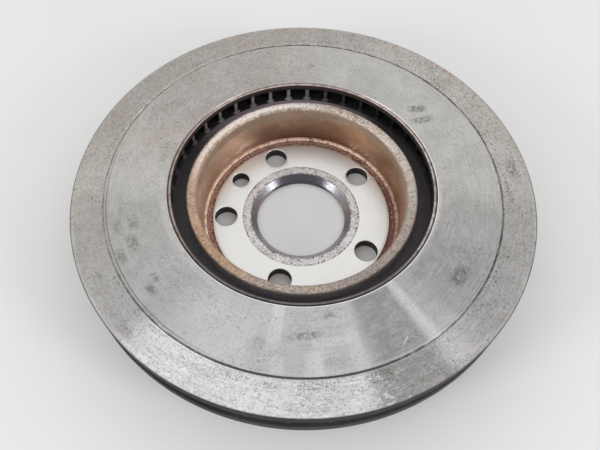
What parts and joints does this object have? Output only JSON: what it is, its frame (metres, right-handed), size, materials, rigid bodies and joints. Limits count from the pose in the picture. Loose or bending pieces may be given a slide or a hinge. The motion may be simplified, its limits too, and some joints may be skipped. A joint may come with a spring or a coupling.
{
  "type": "ventilated brake disc",
  "caption": "Ventilated cast-iron brake disc with an integral hat, a large centre bore, wheel-bolt holes, a locating hole and straight radial cooling vanes.",
  "frame": {"origin": "centre of the hat's wheel-side face, on the disc's axis", "axes": "+Z along the axis of rotation from the wheel side to the inboard side; +X and +Y in the plane of the disc, with the first wheel-bolt hole at 37 degrees from +X"},
  "size_m": [0.302, 0.302, 0.0505],
  "materials": {
    "machined_iron": "fine turned, worn by the pads, lightly pitted",
    "coated_iron": "black coated casting, matt",
    "weathered_iron": "grainy, grey-brown, dull",
    "bronzed_iron": "heat-tinted brown, satin",
    "rusted_iron": "light rust, rough",
    "bright_iron": "smooth machined, clean",
    "pitted_iron": "rough, finely pitted"
  },
  "bodies": {
    "root": {"inboard_friction_plate": "machined_iron", "outboard_friction_plate": "machined_iron", "neck_ring": "coated_iron", "hat_rim": "weathered_iron", "hat_wall": "bronzed_iron", "hat_shoulder": "rusted_iron", "mounting_flange": "bright_iron", "centre_collar": "pitted_iron", "cooling_vane_01": "coated_iron", "cooling_vane_02": "coated_iron", "cooling_vane_03": "coated_iron", "cooling_vane_04": "coated_iron", "cooling_vane_05": "coated_iron", "cooling_vane_06": "coated_iron", "cooling_vane_07": "coated_iron", "cooling_vane_08": "coated_iron", "cooling_vane_09": "coated_iron", "cooling_vane_10": "coated_iron", "cooling_vane_11": "coated_iron", "cooling_vane_12": "coated_iron", "cooling_vane_13": "coated_iron", "cooling_vane_14": "coated_iron", "cooling_vane_15": "coated_iron", "cooling_vane_16": "coated_iron", "cooling_vane_17": "coated_iron", "cooling_vane_18": "coated_iron", "cooling_vane_19": "coated_iron", "cooling_vane_20": "coated_iron", "cooling_vane_21": "coated_iron", "cooling_vane_22": "coated_iron", "cooling_vane_23": "coated_iron", "cooling_vane_24": "coated_iron", "cooling_vane_25": "coated_iron", "cooling_vane_26": "coated_iron", "cooling_vane_27": "coated_iron", "cooling_vane_28": "coated_iron", "cooling_vane_29": "coated_iron", "cooling_vane_30": "coated_iron", "cooling_vane_31": "coated_iron", "cooling_vane_32": "coated_iron", "cooling_vane_33": "coated_iron", "cooling_vane_34": "coated_iron", "cooling_vane_35": "coated_iron", "cooling_vane_36": "coated_iron", "cooling_vane_37": "coated_iron", "cooling_vane_38": "coated_iron", "cooling_vane_39": "coated_iron", "cooling_vane_40": "coated_iron"}
  },
  "joints": []
}
